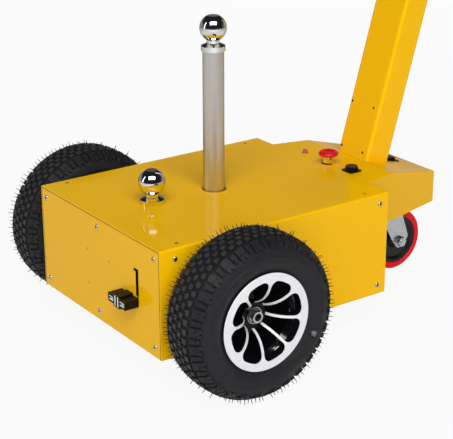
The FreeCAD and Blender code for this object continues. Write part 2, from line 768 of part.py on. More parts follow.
def pockets():
    """The eight pockets between the spokes, as one cutter: sides beside the ribs, outer corners rounded."""
    lean = math.pi / RIB_COUNT

    def corner(radius, side):
        along = math.sqrt(radius ** 2 - (RIB_T / 2) ** 2)
        x = along * math.cos(lean) + RIB_T / 2 * math.sin(lean)
        z = along * math.sin(lean) - RIB_T / 2 * math.cos(lean)
        return V(AXLE.x + x, TRACK_HALF - RIM_EDGE, AXLE.z + side * z)

    tip = V(AXLE.x + POCKET_R, TRACK_HALF - RIM_EDGE, AXLE.z)
    wire = Part.Wire([line(corner(HUB_R, 1), corner(POCKET_R, 1)),
                      arc(corner(POCKET_R, 1), tip, corner(POCKET_R, -1)),
                      line(corner(POCKET_R, -1), corner(HUB_R, -1)),
                      line(corner(HUB_R, -1), corner(HUB_R, 1))])
    pocket = Part.Face(wire).extrude(V(0, 2 * RIM_W, 0))
    outer_edges = edges_along(pocket, ALONG_Y, lambda middle: middle.x > AXLE.x + HUB_R + RIM_FLANGE_H)
    pocket = pocket.makeFillet(POCKET_CORNER_R, outer_edges)
    cutters = []
    for i in range(RIB_COUNT):
        cutter = pocket.copy()
        cutter.rotate(AXLE, ALONG_Y, (i + 0.5) * 360.0 / RIB_COUNT - RIB_TURN)
        cutters.append(cutter)
    return Part.makeCompound(cutters)


def spokes():
    """Dished disc behind the polished face, with its pockets cut through."""
    front_out, front_in, front = dish_arc(FACE_T)
    back_out, back_in, back = dish_arc(FACE_T + SPOKE_DEPTH)
    disc = turn([front, line(front_in, back_in), back, line(back_out, front_out)], AXLE, ALONG_Y)
    return disc.cut(pockets())


def barrel():
    """Rim between the beads, stepped inside, with a web to the hub."""
    inner = BEAD_R - BARREL_DEPTH
    flange = RIM_FLANGE_R - FACE_T
    web = BARREL_STEP
    hub_end = HUB_FACE - HUB_DEPTH
    profile = [w(BEAD_R, -BEAD_SEAT), w(flange, -RIM_EDGE), w(flange - BARREL_STEP, -RIM_EDGE),
               w(inner, -BEAD_SEAT), w(inner, -web), w(HUB_R, -web - BARREL_STEP), w(HUB_R, hub_end),
               w(SHAFT_R, hub_end), w(SHAFT_R, HUB_FACE), w(HUB_R, HUB_FACE), w(HUB_R, web)]
    steps = 3
    for i in range(steps):
        radius = inner - (steps - i) * BARREL_STEP
        profile += [w(radius, web + i * BARREL_DEPTH), w(radius, web + (i + 1) * BARREL_DEPTH)]
    profile += [w(inner, web + steps * BARREL_DEPTH), w(inner, BEAD_SEAT - BARREL_STEP),
                w(POCKET_R, RIM_EDGE), w(flange, RIM_EDGE), w(BEAD_R, BEAD_SEAT)]
    return turn_points(profile, AXLE, ALONG_Y)


def rim():
    return barrel().fuse(spokes())


def rim_face():
    """Polished face on the casting: the outer ring and a cap that follows each spoke down to the hub."""
    front_out, front_in, front = dish_arc(0)
    back_out, back_in, back = dish_arc(FACE_T)
    caps = turn([front, line(front_in, back_in), back, line(back_out, front_out)], AXLE, ALONG_Y)
    profile = [w(POCKET_R, RIM_EDGE), w(RIM_FLANGE_R, RIM_EDGE), w(RIM_FLANGE_R, RIM_EDGE + FACE_T / 2),
               w(RIM_FLANGE_R - FACE_T / 2, RIM_EDGE + FACE_T), w(POCKET_R, RIM_EDGE + FACE_T)]
    return turn_points(profile, AXLE, ALONG_Y).fuse(caps.cut(pockets())).removeSplitter()


def hub_nut():
    """Nut and washer, with the shaft's end sunk in the nut."""
    face = w(0, HUB_FACE)
    nut_foot = w(0, HUB_FACE + WASHER_T)
    washer = rod(WASHER_R, face, nut_foot)
    nut = hexagon(nut_foot, NUT_CORNER_R, NUT_L)
    bevel = Part.makeCone(NUT_CORNER_R + NUT_BEVEL, NUT_CORNER_R - NUT_BEVEL, NUT_L, nut_foot, ALONG_Y)
    seat = rod(SHAFT_R, face, w(0, NUT_OUT - SHAFT_RECESS))
    hole = rod(NUT_HOLE_R, face, w(0, NUT_OUT + 1))
    return washer.fuse(nut.common(bevel)).cut(seat).cut(hole)


# ---- caster ----
def caster_plate():
    """Top plate bolted to the tail's floor, with the upper race of the swivel."""
    top = V(CASTER_X, 0, TAIL_BOTTOM_Z)
    plate = block(top.sub(V(0, 0, PLATE_T / 2)), PLATE_L, PLATE_W, PLATE_T)
    return plate.fuse(rod(RACE_R, top.sub(V(0, 0, PLATE_T + RACE_H)), top.sub(V(0, 0, PLATE_T))))


def fork_leg(crown_z):
    """Left leg: a broad plate from the crown down to its rounded foot round the pin."""
    centre = V(CASTER_CENTRE.x, LEG_IN, CASTER_CENTRE.z)
    half_foot = FORK_FOOT_DOWN / 2
    outline = [V(CASTER_X + FORK_AHEAD, LEG_IN, crown_z), V(CASTER_X - FORK_BEHIND, LEG_IN, crown_z),
               centre.add(V(-FORK_FOOT_BEHIND, 0, half_foot)), centre.add(V(-half_foot, 0, -FORK_FOOT_DOWN)),
               centre.add(V(half_foot, 0, -FORK_FOOT_DOWN)), centre.add(V(FORK_FOOT_AHEAD, 0, half_foot))]
    leg = prism(outline, V(0, FORK_T, 0))
    leg = leg.makeFillet(FORK_CORNER_R, edges_along(leg, ALONG_Y, lambda middle: middle.z < crown_z - 1))
    return leg.cut(rod(PIN_R, centre.sub(V(0, 1, 0)), V(centre.x, LEG_OUT + 1, centre.z)))


def caster_fork():
    """Swivelling crown with two legs that trail back to the pin."""
    race_z = TAIL_BOTTOM_Z - PLATE_T - RACE_H - RACE_GAP
    bridge_z = race_z - CROWN_PLATE_T
    crown = rod(CROWN_PLATE_R, V(CASTER_X, 0, bridge_z), V(CASTER_X, 0, race_z))
    rear, front = CASTER_X - FORK_BEHIND, CASTER_X + FORK_AHEAD
    bridge = box(rear, front, -LEG_OUT, LEG_OUT, bridge_z - FORK_T, bridge_z)
    leg = fork_leg(bridge_z)
    return crown.fuse([bridge, leg, mirrored(leg)])


def caster_axle():
    """Pin with a nut outside each fork leg."""
    centre = CASTER_CENTRE
    end = LEG_OUT + PIN_NUT_L + PIN_THREAD
    pin = rod(PIN_R, centre.sub(V(0, end, 0)), centre.add(V(0, end, 0)))
    for side in (-1, 1):
        nut = hexagon(centre.add(V(0, side * LEG_OUT, 0)), PIN_NUT_CORNER_R, side * PIN_NUT_L)
        pin = pin.fuse(nut)
    return pin


def caster_ring(half_profile):
    """Turn a half profile, given from the middle plane as (radius, out), and its mirror about the pin."""
    outline = half_profile + [(radius, -out) for radius, out in reversed(half_profile)]
    points = [CASTER_CENTRE.add(V(radius, out, 0)) for radius, out in outline]
    return turn_points(points, CASTER_CENTRE, ALONG_Y)


def caster_core():
    half = CASTER_W / 2
    web = half - CASTER_DISH
    hub = LEG_IN - FORK_CLEAR
    return caster_ring([(CASTER_CORE_R, half - CASTER_CHAMFER),
                        (CASTER_CORE_R - CASTER_DISH, half - 2 * CASTER_CHAMFER),
                        (CASTER_CORE_R - 2 * CASTER_DISH, web), (CASTER_HUB_R + CASTER_DISH, web),
                        (CASTER_HUB_R, hub), (PIN_R + SHAFT_CLEAR, hub)])


def caster_tread():
    half = CASTER_W / 2
    return caster_ring([(CASTER_R, half - CASTER_EDGE), (CASTER_R - CASTER_EDGE, half),
                        (CASTER_CORE_R + CASTER_CHAMFER, half), (CASTER_CORE_R, half - CASTER_CHAMFER)])


# ---- inside ----
def battery_pack():
    """Plain block in place of the batteries, with a well for the post's guide."""
    front = AXLE.x - GEARCASE_R - BATTERY_GAP
    pack = box(front - BATTERY_L, front, -BATTERY_W / 2, BATTERY_W / 2, BELLY_Z, BELLY_Z + BATTERY_H)
    well = rod(POST_R + GUIDE_WALL + POST_ROOM, at(POST_BACK, 0, BOTTOM_Z), at(POST_BACK, 0, TOP_Z))
    return pack.cut(well)


nodes = {
    "body_shell": body_shell(),
    "front_panel": front_panel(),
    "rear_panel": end_panel(REAR, REAR + SHEET),
    "belly_plate": belly_plate(),
    "tail_housing": tail_housing(),
    "tail_floor": tail_floor(),
    "battery_pack": battery_pack(),
    "charge_connector": charge_connector(),
    "tow_ball_low": tow_ball(at(LOW_BALL_BACK, 0, TOP_Z)),
    "post_guide": post_guide(),
    "tow_post": tow_post(),
    "tow_ball_high": tow_ball(at(POST_BACK, 0, TOP_Z + POST_UP)),
    "mast": mast(),
    "control_head": control_head(),
    "handlebar": bar_tube(),
    "handlebar_grips": Part.makeCompound([grip(), mirrored(grip())]),
    "battery_gauge": battery_gauge(),
    "key_switch": key_switch(),
    "direction_switch": direction_switch(),
    "stop_button_collar": stop_button_collar(),
    "stop_button_head": stop_button_head(),
    "indicator_lamp": indicator_lamp(),
    "charge_socket": charge_socket(),
    "breaker_button": breaker_button(),
    "drive_axle": drive_axle(),
    "caster_plate": caster_plate(),
    "caster_fork": caster_fork(),
    "caster_axle": caster_axle(),
    "caster_core": caster_core(),
    "caster_tread": caster_tread(),
}
left_wheel = {
    "axle_shaft": axle_shaft(),
    "tyre": tyre(),
    "rim": rim(),
    "rim_face": rim_face(),
    "hub_nut": hub_nut(),
}
for name, shape in left_wheel.items():
    nodes[name + "_left"] = shape
    nodes[name + "_right"] = mirrored(shape)

os.makedirs("parts", exist_ok=True)
for name, shape in nodes.items():
    shape.exportStep(os.path.join("parts", name + ".step"))
print("front panel x %.2f  axle x %.2f  caster x %.2f  post x %.2f" % (
    FRONT, AXLE.x, CASTER_X, FRONT - POST_BACK))
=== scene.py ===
import bmesh
import bpy
import json
import math
import random
from mathutils import Matrix, Quaternion, Vector


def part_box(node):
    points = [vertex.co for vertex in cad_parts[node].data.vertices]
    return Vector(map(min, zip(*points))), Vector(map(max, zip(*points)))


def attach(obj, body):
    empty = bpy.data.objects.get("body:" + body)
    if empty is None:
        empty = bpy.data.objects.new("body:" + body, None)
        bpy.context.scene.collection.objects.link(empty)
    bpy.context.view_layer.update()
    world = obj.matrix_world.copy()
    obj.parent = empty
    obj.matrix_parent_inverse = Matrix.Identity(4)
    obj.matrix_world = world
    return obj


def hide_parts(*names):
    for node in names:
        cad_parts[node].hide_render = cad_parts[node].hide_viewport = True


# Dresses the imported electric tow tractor: a finish for every node, pieces for the tread, valves, screws,
# connector, slot, seam, controls and grips, and a plain studio to show it in.

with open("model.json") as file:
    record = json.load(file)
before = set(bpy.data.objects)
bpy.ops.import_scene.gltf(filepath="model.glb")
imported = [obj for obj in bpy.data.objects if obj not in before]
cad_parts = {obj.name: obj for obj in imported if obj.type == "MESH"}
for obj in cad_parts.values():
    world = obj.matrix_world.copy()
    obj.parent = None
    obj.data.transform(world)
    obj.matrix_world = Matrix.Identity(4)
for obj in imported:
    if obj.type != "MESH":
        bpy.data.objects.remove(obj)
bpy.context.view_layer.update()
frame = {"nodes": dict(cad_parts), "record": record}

# Places are in metres, as the frame gives them. Sizes, and distances from a place, are in millimetres.
MM = 0.001

# ---- places and directions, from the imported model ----
joints = {joint["name"]: joint for joint in frame["record"]["behaviour"]["joints"]}
shell_low, shell_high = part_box("body_shell")
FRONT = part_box("front_panel")[1].x
REAR = shell_low.x
TOP = shell_high.z
HALF_W = shell_high.y
AXLE = Vector(joints["wheel_left_spin"]["pos_m"])
CONNECTOR_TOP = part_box("charge_connector")[1].z
ON_AXLE = Matrix.Rotation(math.radians(-90), 4, "X")    # lays an upright form along the axle
FORWARD = Vector((1, 0, 0))
UP = Vector((0, 0, 1))
MAST_LEAN = math.radians(16)
MAST_UP = Vector((-math.sin(MAST_LEAN), 0, math.cos(MAST_LEAN)))
MAST_OUT = Vector((math.cos(MAST_LEAN), 0, math.sin(MAST_LEAN)))
MAST_FOOT = Vector((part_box("mast")[1].x, 0, TOP - 2.5 * MM))      # its screws are measured up from here
CONTROL_TILT = math.radians(58.1)       # the control panel's normal, back from upright
CONTROL_OUT = Vector((-math.sin(CONTROL_TILT), 0, math.cos(CONTROL_TILT)))

# ---- tyre: points are a radius and a distance out from its middle plane ----
LUG_PAIRS = 28
LUG_STEP = math.pi / LUG_PAIRS          # angle from one lug to the next
LUG_H = 4.5
TYRE_SEGMENTS = 6 * LUG_PAIRS
CARCASS_R = AXLE.z / MM - LUG_H
CROWN = [(CARCASS_R, 0), (CARCASS_R - 0.3, 10), (CARCASS_R - 0.9, 19), (CARCASS_R - 2, 27),
         (CARCASS_R - 3.3, 31)]
SHOULDER = (134, 47.5)
BULGE = (116, 53.5)
CHAFER = (93, 46)
BEAD = [(91.5, 45.6), (90, 44.6), (77.5, 38)]
SIDEWALL_RADII = (131, 128, 124, 120.5)
RAISED_RING_R = 118
RAISED_RING = [(1.2, 0.2), (0.6, 0.9), (-0.6, 0.9), (-1.2, 0.2)]        # from its radius, over the sidewall
LOWER_SIDEWALL_RADII = (114, 110, 106, 102, 99, 96, 94.2, CHAFER[0])

# ---- tread: outlines are s, round the tyre, and t, across its section from the crown's middle ----
LONG_LUG = [(-7.6, 29.5), (-2, 28.6), (2, 28.6), (7.6, 29.5), (8.4, 49), (5.6, 53.5), (2.4, 51.5), (0, 48),
            (-2.4, 51.5), (-5.6, 53.5), (-8.4, 49)]
SHORT_LUG = [(-4, 31), (4, 31), (4.6, 45), (2.2, 49.5), (-2.2, 49.5), (-4.6, 45)]
INNER_KNOB = [(-5.4, 3.4), (-4, 2), (4.2, 2.8), (5.4, 4.8), (4.6, 10.4), (3, 11.6), (-4.6, 10.8)]
OUTER_KNOB = [(-5.2, 16.6), (-4, 15.4), (4, 15), (5.4, 16.6), (5, 23.2), (3.6, 24.6), (-4.2, 24.8),
              (-5.6, 23)]
BLOCK_LEVELS = [(-1.0, 0.5), (LUG_H - 0.9, 0.0), (LUG_H, -0.9)]         # height, how far the outline swells
WHISKER_L = 9.5
WHISKER_SHORTEST = 0.65                 # share of that length
WHISKER_TAPER = [(0, 0.75), (0.5, 0.65), (1, 0.4)]                      # share of its length, radius
WHISKER_BEND = 0.2
WHISKER_ROOT_IN = 0.3
WHISKER_FLOOR = 0.5                     # no whisker reaches below this
LUG_WHISKER_S = (-3.5, 3.5)
LUG_WHISKER_T = 42
LUG_WHISKER_SPREAD = (-2, 3)
KNOB_WHISKER_T = 6.8
KNOB_WHISKER_SPREAD = (-2, 2)

# ---- wheel: turned sections are a radius and a distance out from the wheel's middle plane ----
STEPS_OUT = (18.2, 22.8, 27.4, 32.0)
STEP_SECTION = [(71.6, 0), (69.8, 0.2), (69.8, 1.7), (71.45, 3.8)]      # riser, flat and slope
# the next two are dark pieces of painted shade: one in the hub nut's socket, one round its washer
NUT_SOCKET_SHADE = [(6.9, 15.5), (6.9, 16.4), (5.6, 16.9), (2.0, 17.0)]
WASHER_SHADOW = [(11.9, 13.5), (11.9, 14.2), (13.9, 14.2), (13.9, 13.5)]
VALVE_ANGLE = math.radians(204.8)
VALVE_R = 99
VALVE_OUT = 46
VALVE_STEM = [(6.4, 0), (6.4, 2), (4.0, 4), (3.6, 8)]                   # radius, along the stem
VALVE_CAP = [(5.2, 8.8), (5.4, 9.4), (5.4, 15.8), (4.9, 16.6), (3.5, 16.9)]
VALVE_TIP = [(3.1, 16.2), (1.5, 16.2), (1.3, 17.2), (0.9, 17.4)]
# bands marked 1 are the grey of the cap's painted highlight
VALVE_MATERIALS = [0, 0, 0, 1, 1, 1, 1, 1, 0, 0, 1, 1, 1]               # of each band, and of the top

# ---- fasteners: radius, height and, where it isn't round, its number of corners ----
BUTTON_SCREW = [(4.8, -0.5), (4.8, 0.3), (4.5, 1.2), (3.7, 2.0), (2.9, 2.35), (2.3, 2.45, 6), (2.3, 0.6, 6)]
FLUSH_SCREW = [(3.6, -0.4), (3.6, 0.15), (3.2, 0.35), (1.7, 0.35, 6), (1.7, -0.3, 6)]
MAST_SCREW = [(2.6, -0.4), (2.6, 0.3), (2.2, 0.8), (1.3, 1.0, 6), (1.3, 0.1, 6)]
HEX_BOLT = [(8.5, -0.5), (8.5, 1.2), (7.4, 1.2, 6), (7.4, 5.4, 6), (6.6, 6.2), (2.0, 6.4)]
SCREW_ROWS = (19.5, 184.5)              # of the end panels, below the top
SCREW_COLUMNS = (-187.5, 0, 187.5)
SIDE_SCREW_X = (FRONT - 31 * MM, REAR + 20 * MM)
TOP_SCREW_X = (FRONT - 46 * MM, REAR + 42 * MM)
TOP_SCREW_OUT = 189
MAST_SCREW_UP = (14.6, 107)
MAST_SCREW_LEFT = (-37, 27)
CASTER_PLATE_T = 4
CASTER_BOLT_FROM_END = 13
CASTER_BOLT_FROM_SIDE = 11

# ---- plates: a width, a height and a corner radius; their levels are a back, a face and its chamfer ----
# charging connector
KEY_BAR = (2.4, 20, 1.0)
KEY_BAR_LEVELS = (-0.3, 0.5, 0.2)
KEY_BAR_LEFT = (-4.6, 4.6)
CONTACT = (14, 1.3, 0.5)
CONTACT_LEVELS = (-15, 0.3, 0.3)
CONTACT_LEFT = (-18, 18)
CONTACT_UP = (-2.9, 2.9)
# slot and seam of the front panel, both drawn as dark pieces of painted shade
SLOT_LEFT = 133.5
SLOT_W = 6.5
SLOT_HOOK = 6
SLOT_TOP_DOWN = 57
# the slot's dark plug and the dark band round it are painted shade
SLOT_SHADE_LEVELS = (-5, -0.4, 0.05)
SLOT_SHADE_RIM = 0.9
SLOT_SHADE_RIM_OUT = 0.25
SLOT_SHADE_RIM_IN = -1.5
SEAM_W = 1.1
SEAM_LEVELS = (-2, 0.12, 0.05)
SEAM_IN = 3.35                          # from the body's sides and top
# battery gauge and key
GAUGE_WINDOW = (50, 24, 3)
GAUGE_WINDOW_LEVELS = (-0.3, 0.5, 0.3)
GAUGE_OUT = 1.5                         # from the gauge's middle
GAUGE_BAR = (4.6, 12, 0.8)
GAUGE_BAR_LEVELS = (0.2, 0.9, 0.2)
GAUGE_BARS = 6
GAUGE_BAR_PITCH = 7
KEY_OUT = 5.4                           # from the key switch's middle
KEY_BLADE = (1.8, 7, 0.6)
KEY_BLADE_LEVELS = (-0.3, 12, 0.3)
KEY_BOW = (18, 20, 7)
KEY_BOW_LEVELS = (-1.6, 1.6, 0.6)
KEY_BOW_OUT = 17

# ---- knob and lens: radius, height ----
SWITCH_KNOB = [(3.2, 5), (5.6, 7), (7.2, 10), (7.4, 13), (6.4, 16), (4.2, 17.6), (1.6, 18.2)]
LAMP_LENS = [(4.9, 3.0), (4.9, 6.2), (4.4, 8.4), (3.2, 10.0), (1.2, 10.6)]

# ---- grips ----
BAR_R = 12.5
BAR_W = 540
BAR_MIDDLE_W = 240
BAR_SWEEP = 60                          # how far the bar's ends come back
SWEEP_ANGLE = math.atan2(2 * BAR_SWEEP, BAR_W - BAR_MIDDLE_W)
GRIP_ROOT = 114                         # where the grip begins, in from the bar's end
GRIP_FLANGE = [(12.6, 0), (19.6, 0), (20, 0.6), (20, 5.4), (19.4, 6), (17, 6.6)]
GRIP_RINGS = 10
GRIP_RING_START = 10
GRIP_RING_PITCH = 9.6
GRIP_RING = [(16.2, 0), (16.2, 1.2), (17, 2), (17, 8.2)]
GRIP_END = [(17, 111), (17, 115.5), (16.2, 117.3), (14.5, 118), (5, 118)]

# ---- camera and studio, in metres, but the lens and its sensor in millimetres ----
CAMERA_FROM_FRONT_TOP = Vector((1.1398, 2.0104, 0.8765))
CAMERA_LOOK = Vector((-0.53970, -0.76173, -0.35846))
CAMERA_ROLL = math.radians(-0.15)
CAMERA_LENS = 109.5
CAMERA_SENSOR = 36
FLOOR_R = 80
FLOOR_GLOW = 0.92                       # what the camera sees of the floor is mostly its own white
# what polished surfaces see of the floor near the object is a painted pool of light
MIRRORED_GLOW = 0.35                    # as much of it shows in polished surfaces
MIRRORED_FADE = (1.3, 2.6)              # from the middle, the distances between which it fades out
BACKDROP_SIDE = (-0.53970, -0.76173, 0)
BACKDROP_SPREAD = (-0.1, 0.7)           # how squarely a ray faces that side, from dark to pale
BACKDROP_HEIGHT = (0.02, 0.40)          # how steeply a ray climbs, from pale to dark
BACKDROP_PALE = (0.55, 0.55, 0.55, 1)
BACKDROP_DARK = (0.015, 0.015, 0.018, 1)
BACKDROP_SEEN = (0.96, 0.96, 0.96, 1)
LIT_POINT = Vector((FRONT - 0.25, 0, 0.25))


# ---- shader helpers ----
def feed(links, socket, value):
    """Link an input to another node's output, or set it where the value is a constant."""
    if isinstance(value, bpy.types.NodeSocket):
        links.new(value, socket)
    else:
        socket.default_value = value


def value_noise(nodes, links, coords, scale, detail, stretch=(1, 1, 1)):
    """Noise texture in object space; its scale is in cells per metre."""
    mapping = nodes.new("ShaderNodeMapping")
    mapping.inputs["Scale"].default_value = stretch
    links.new(coords, mapping.inputs["Vector"])
    noise = nodes.new("ShaderNodeTexNoise")
    noise.inputs["Scale"].default_value = scale
    noise.inputs["Detail"].default_value = detail
    links.new(mapping.outputs["Vector"], noise.inputs["Vector"])
    return noise.outputs["Fac"]


def cells(nodes, links, coords, spacing):
    """Voronoi cells in object space, of a spacing in millimetres."""
    voronoi = nodes.new("ShaderNodeTexVoronoi")
    voronoi.inputs["Scale"].default_value = 1 / (spacing * MM)
    links.new(coords, voronoi.inputs["Vector"])
    return voronoi.outputs


def remap(nodes, links, source, low, high, start=0.3, end=0.7):
    """Carry values between start and end, where most of a noise lies, over to between low and high."""
    node = nodes.new("ShaderNodeMapRange")
    node.inputs["From Min"].default_value = start
    node.inputs["From Max"].default_value = end
    node.inputs["To Min"].default_value = low
    node.inputs["To Max"].default_value = high
    links.new(source, node.inputs["Value"])
    return node.outputs["Result"]


def arithmetic(nodes, links, operation, first, second):
    node = nodes.new("ShaderNodeMath")
    node.operation = operation
    feed(links, node.inputs[0], first)
    feed(links, node.inputs[1], second)
    return node.outputs["Value"]


def mixed(nodes, links, factor, first, second):
    node = nodes.new("ShaderNodeMix")
    node.data_type = "RGBA"
    links.new(factor, node.inputs["Factor"])
    feed(links, node.inputs["A"], first)
    feed(links, node.inputs["B"], second)
    return node.outputs["Result"]


def bumped(nodes, links, height, distance, normal=None):
    """Bump of a distance in millimetres, laid over another normal if one is given."""
    node = nodes.new("ShaderNodeBump")
    node.inputs["Distance"].default_value = distance * MM
    node.inputs["Strength"].default_value = 1.0
    links.new(height, node.inputs["Height"])
    if normal:
        links.new(normal, node.inputs["Normal"])
    return node.outputs["Normal"]


def tone(colour, level):
    """A colour made darker or lighter, with its alpha."""
    return (*[min(1.0, c * level) for c in colour], 1)


# ---- materials ----
SMUDGES_TO_PATCHES = 3.1                # how much finer the roughness wanders than the colour
COAT_ROUGHNESS = 0.03


def finish(name, colour, roughness, metallic=0.0, specular=0.5, edge=1.0, coat=0.0, spread=0.06, patch=12.0,
           rough_spread=0.05, grain=900.0, grain_height=0.01, stretch=(1, 1, 1), relief=None):
    """Material with wandering colour and roughness, a fine grain, and any further relief laid over it.

    The spreads say how far colour and roughness wander, patch and grain how fine, in cells per metre.
    """
    material = bpy.data.materials.new(name)
    material.use_nodes = True
    nodes, links = material.node_tree.nodes, material.node_tree.links
    shader = nodes["Principled BSDF"].inputs
    coords = nodes.new("ShaderNodeTexCoord").outputs["Object"]
    patches = value_noise(nodes, links, coords, patch, detail=4.0)
    wandering = mixed(nodes, links, patches, tone(colour, 1 - spread), tone(colour, 1 + spread))
    links.new(wandering, shader["Base Color"])
    smudges = value_noise(nodes, links, coords, patch * SMUDGES_TO_PATCHES, 5.0, stretch)
    low, high = max(0.0, roughness - rough_spread), roughness + rough_spread
    links.new(remap(nodes, links, smudges, low, high), shader["Roughness"])
    fine = value_noise(nodes, links, coords, grain, 2.0, stretch)
    normal = bumped(nodes, links, fine, grain_height)
    if relief:
        normal = relief(nodes, links, coords, normal)
    links.new(normal, shader["Normal"])
    shader["Metallic"].default_value = metallic
    shader["Specular IOR Level"].default_value = specular
    shader["Specular Tint"].default_value = (edge, edge, edge, 1)
    shader["Coat Weight"].default_value = coat
    shader["Coat Roughness"].default_value = COAT_ROUGHNESS
    return material


def turned_rings(spacing, height):
    """Fine rings round the upright axis, as a lathe leaves them, in millimetres."""
    def relief(nodes, links, coords, normal):
        rings = value_noise(nodes, links, coords, 1 / (spacing * MM), 2.0, stretch=(0.02, 0.02, 1))
        return bumped(nodes, links, rings, height, normal)
    return relief


def pebbles(spacing, height):
    """Leather-like grain of moulded plastic or rubber, in millimetres."""
    def relief(nodes, links, coords, normal):
        return bumped(nodes, links, cells(nodes, links, coords, spacing)["Distance"], height, normal)
    return relief


def flakes(material, spacing, colour, sparkle):
    """Replace the base colour by small cells of varying brightness, as in metallic paint or zinc."""
    nodes, links = material.node_tree.nodes, material.node_tree.links
    coords = nodes.new("ShaderNodeTexCoord").outputs["Object"]
    level = nodes.new("ShaderNodeSeparateColor")
    links.new(cells(nodes, links, coords, spacing)["Color"], level.inputs["Color"])
    flecked = mixed(nodes, links, level.outputs["Red"], tone(colour, 1 - sparkle), tone(colour, 1 + sparkle))
    links.new(flecked, nodes["Principled BSDF"].inputs["Base Color"])


RIM_WHITE = (0.70, 0.70, 0.72)
ZINC = (0.62, 0.64, 0.66)
finishes = {
    "yellow_paint": finish("yellow_powder_coat", (0.86, 0.47, 0.002), 0.10, specular=0.15, spread=0.03,
                           patch=5.0, rough_spread=0.03, grain=650.0, grain_height=0.004),
    "chrome": finish("chrome_plate", (0.86, 0.86, 0.87), 0.045, metallic=1.0, edge=0.45, spread=0.02,
                     rough_spread=0.025, grain=1500.0, grain_height=0.0006),
    "satin_steel": finish("ground_steel", (0.77, 0.74, 0.69), 0.42, metallic=1.0, edge=0.3, spread=0.03,
                          patch=14.0, rough_spread=0.03, grain=400.0, grain_height=0.0, stretch=(1, 1, 6),
                          relief=turned_rings(4, 0.001)),
    "zinc_steel": finish("zinc_plate", ZINC, 0.30, metallic=1.0, spread=0.08, patch=60.0,
                         rough_spread=0.08, grain=1600.0, grain_height=0.006),
    "black_plastic": finish("moulded_plastic", (0.005, 0.0045, 0.0045), 0.30, specular=0.14, spread=0.15,
                            patch=30.0, rough_spread=0.06, grain=1400.0, grain_height=0.006,
                            relief=pebbles(0.9, 0.008)),
    "grip_rubber": finish("grip_rubber", (0.022, 0.022, 0.023), 0.62, specular=0.35, spread=0.2, patch=40.0,
                          rough_spread=0.1, grain=1200.0, grain_height=0.02, relief=pebbles(1.3, 0.05)),
    "black_paint": finish("black_enamel", (0.02, 0.02, 0.022), 0.25, coat=0.3, spread=0.1, patch=20.0,
                          rough_spread=0.06, grain=800.0, grain_height=0.004),
    "tyre_rubber": finish("tyre_rubber", (0.013, 0.013, 0.015), 0.52, specular=0.25, spread=0.22, patch=18.0,
                          rough_spread=0.12, grain_height=0.03, relief=pebbles(1.1, 0.03)),
    "rim_black": finish("gloss_black_casting", (0.003, 0.003, 0.004), 0.16, specular=0.15, spread=0.2,
                        patch=40.0, grain=700.0, grain_height=0.005),
    "rim_white": finish("silver_white_lacquer", RIM_WHITE, 0.30, specular=0.3, coat=0.2, spread=0.02,
                        patch=30.0, rough_spread=0.06, grain=1500.0, grain_height=0.004),
    "red_plastic": finish("red_plastic", (0.62, 0.003, 0.006), 0.22, specular=0.35, coat=0.1, spread=0.05,
                          patch=40.0, grain=1000.0, grain_height=0.006),
    "red_polyurethane": finish("red_polyurethane", (0.85, 0.006, 0.010), 0.30, specular=0.2, spread=0.08,
                               patch=40.0, rough_spread=0.08),
    "caster_black": finish("black_nylon", (0.007, 0.007, 0.009), 0.33, specular=0.35, spread=0.15, patch=40.0,
                           rough_spread=0.08, grain=1100.0, grain_height=0.015),
}
flakes(finishes["zinc_steel"], 1.2, ZINC, 0.16)
flakes(finishes["rim_white"], 0.7, RIM_WHITE, 0.09)
tread_faces = finish("tread_faces", (0.030, 0.030, 0.028), 0.50, specular=0.35, spread=0.35, patch=60.0,
                     rough_spread=0.12, grain_height=0.03)
step_black = finish("machined_black", (0.004, 0.004, 0.005), 0.10, specular=0.9, coat=0.5, spread=0.2,
                    patch=40.0, rough_spread=0.03, grain=700.0, grain_height=0.002)
bare_white = finish("white_plastic", (0.80, 0.80, 0.80), 0.35, spread=0.04, patch=90.0, grain_height=0.004)
# Painted highlight: grey on the black valve cap's side and tip, standing in for the light that catches them.
cap_painted_highlight = finish("valve_cap_painted_highlight", (0.085, 0.09, 0.095), 0.30, spread=0.35, patch=160.0)
# Painted shade: a near-black without gloss, laid in screw sockets, the hub nut's socket, round its washer and
# in the front panel's slot, where shade falls.
painted_hole_shade = finish("painted_recess_shade", (0.004, 0.003, 0.003), 0.6, specular=0.05, spread=0.2, patch=90.0)
# Painted shade of the gap at the front panel's seam.
seam_shade = finish("seam_shade", (0.06, 0.024, 0.001), 0.6, specular=0.0, spread=0.2, patch=30.0)
gauge_green = finish("gauge_green", (0.05, 0.42, 0.10), 0.2, coat=0.4, spread=0.08, patch=150.0)
gauge_amber = finish("gauge_amber", (0.75, 0.35, 0.02), 0.2, coat=0.4, spread=0.08, patch=150.0)
lens_red = finish("lamp_lens", (0.42, 0.07, 0.05), 0.12, coat=0.6, spread=0.1, patch=200.0)


# ---- mesh helpers ----
SHARP = 32                              # degrees past which a fold stays an edge
TREAD_SHARP = 28


def make_piece(name, bm, materials, body, sharp=SHARP):
    """Turn a bmesh into a smooth-shaded piece that rides on a body."""
    mesh = bpy.data.meshes.new(name)
    bmesh.ops.recalc_face_normals(bm, faces=bm.faces)
    bm.to_mesh(mesh)
    bm.free()
    mesh.polygons.foreach_set("use_smooth", [True] * len(mesh.polygons))
    mesh.set_sharp_from_angle(angle=math.radians(sharp))
    for material in materials:
        mesh.materials.append(material)
    piece = bpy.data.objects.new(name, mesh)
    bpy.context.scene.collection.objects.link(piece)
    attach(piece, body)
    return piece


def facing(point, normal, up=UP):
    """Place whose local Z looks along a surface's normal and whose local Y leans towards up."""
    z = Vector(normal).normalized()
    x = up.cross(z).normalized()
    y = z.cross(x)
    return Matrix.Translation(point) @ Matrix((x, y, z)).transposed().to_4x4()


